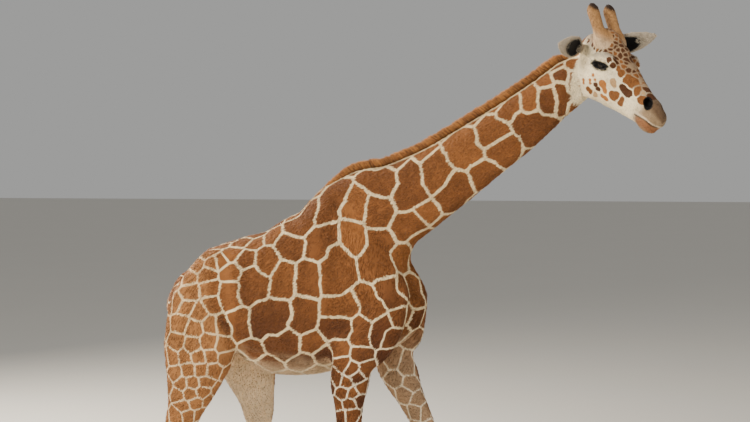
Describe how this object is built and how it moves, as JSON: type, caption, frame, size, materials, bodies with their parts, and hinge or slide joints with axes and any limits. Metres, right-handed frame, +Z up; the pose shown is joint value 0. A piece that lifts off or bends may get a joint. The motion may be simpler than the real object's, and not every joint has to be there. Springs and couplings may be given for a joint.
{
  "type": "reticulated giraffe",
  "caption": "Still, life-size model of a walking reticulated giraffe on four hooves, neck forward and head turned to its right; net-marked coat, short mane, tufted tail.",
  "frame": {"origin": "middle of the bounding box at the floor, under the hooves", "axes": "+Z up, +X the way the animal walks, +Y its left"},
  "size_m": [2.9732, 1.1558, 3.5257],
  "materials": {
    "coat": "short glossy hair, chestnut patches parted by narrow cream lines",
    "mane": "stiff upright rusty brown hair",
    "dark_hair": "long coarse dark hair",
    "eye": "wet, very dark brown",
    "hoof": "dull horn"
  },
  "bodies": {
    "root": {"head": "coat", "neck": "coat", "trunk": "coat", "tail": "coat", "ear_right": "coat", "ear_left": "coat", "ossicone_right": "coat", "ossicone_left": "coat", "eye_right": "eye", "eye_left": "eye", "mane": "mane", "tail_tuft": "dark_hair", "leg_fore_right": "coat", "leg_fore_left": "coat", "leg_hind_right": "coat", "leg_hind_left": "coat", "hoof_fore_right_inner": "hoof", "hoof_fore_right_outer": "hoof", "hoof_fore_left_inner": "hoof", "hoof_fore_left_outer": "hoof", "hoof_hind_right_inner": "hoof", "hoof_hind_right_outer": "hoof", "hoof_hind_left_inner": "hoof", "hoof_hind_left_outer": "hoof"}
  },
  "joints": []
}
